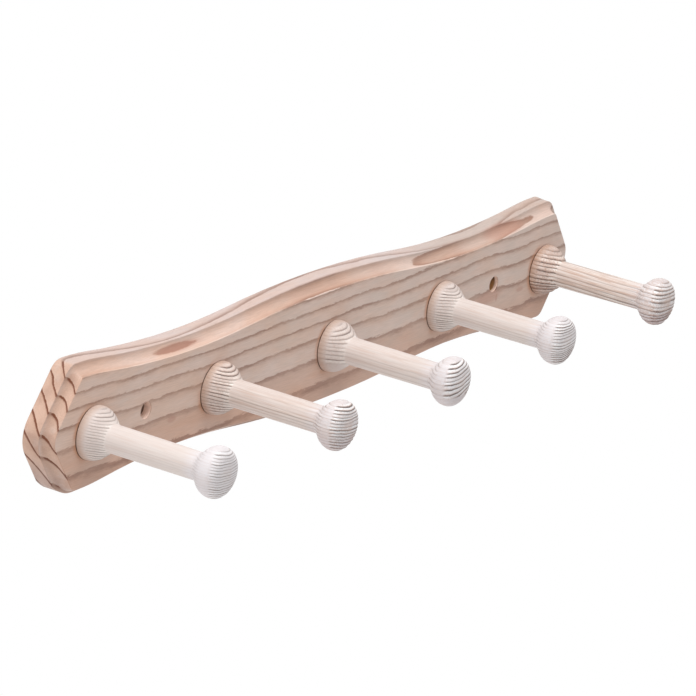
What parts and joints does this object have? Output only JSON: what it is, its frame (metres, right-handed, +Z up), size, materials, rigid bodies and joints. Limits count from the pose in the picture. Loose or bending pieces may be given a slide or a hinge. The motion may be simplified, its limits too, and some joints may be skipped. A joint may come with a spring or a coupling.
{
  "type": "shaker peg rail",
  "caption": "Wall-hung wooden rail with a shaped outline and a coved edge, carrying a row of turned pegs with flared bases and mushroom heads.",
  "frame": {"origin": "middle of the board's flat back face, halfway between the two wall screw holes", "axes": "+X along the board to the right as seen from the front, +Y into the wall, +Z up; the pegs point along -Y"},
  "size_m": [0.5104, 0.1003, 0.0725],
  "materials": {
    "board_wood": "bare planed pine with a bold wavy grain, dull",
    "peg_wood": "turned softwood with a thin whitish lime wash, dull",
    "screw_steel": "bright zinc plate"
  },
  "bodies": {
    "root": {"backboard": "board_wood", "peg_1": "peg_wood", "peg_2": "peg_wood", "peg_3": "peg_wood", "peg_4": "peg_wood", "peg_5": "peg_wood", "peg_screw_1": "screw_steel", "peg_screw_2": "screw_steel", "peg_screw_3": "screw_steel", "peg_screw_4": "screw_steel", "peg_screw_5": "screw_steel"}
  },
  "joints": []
}
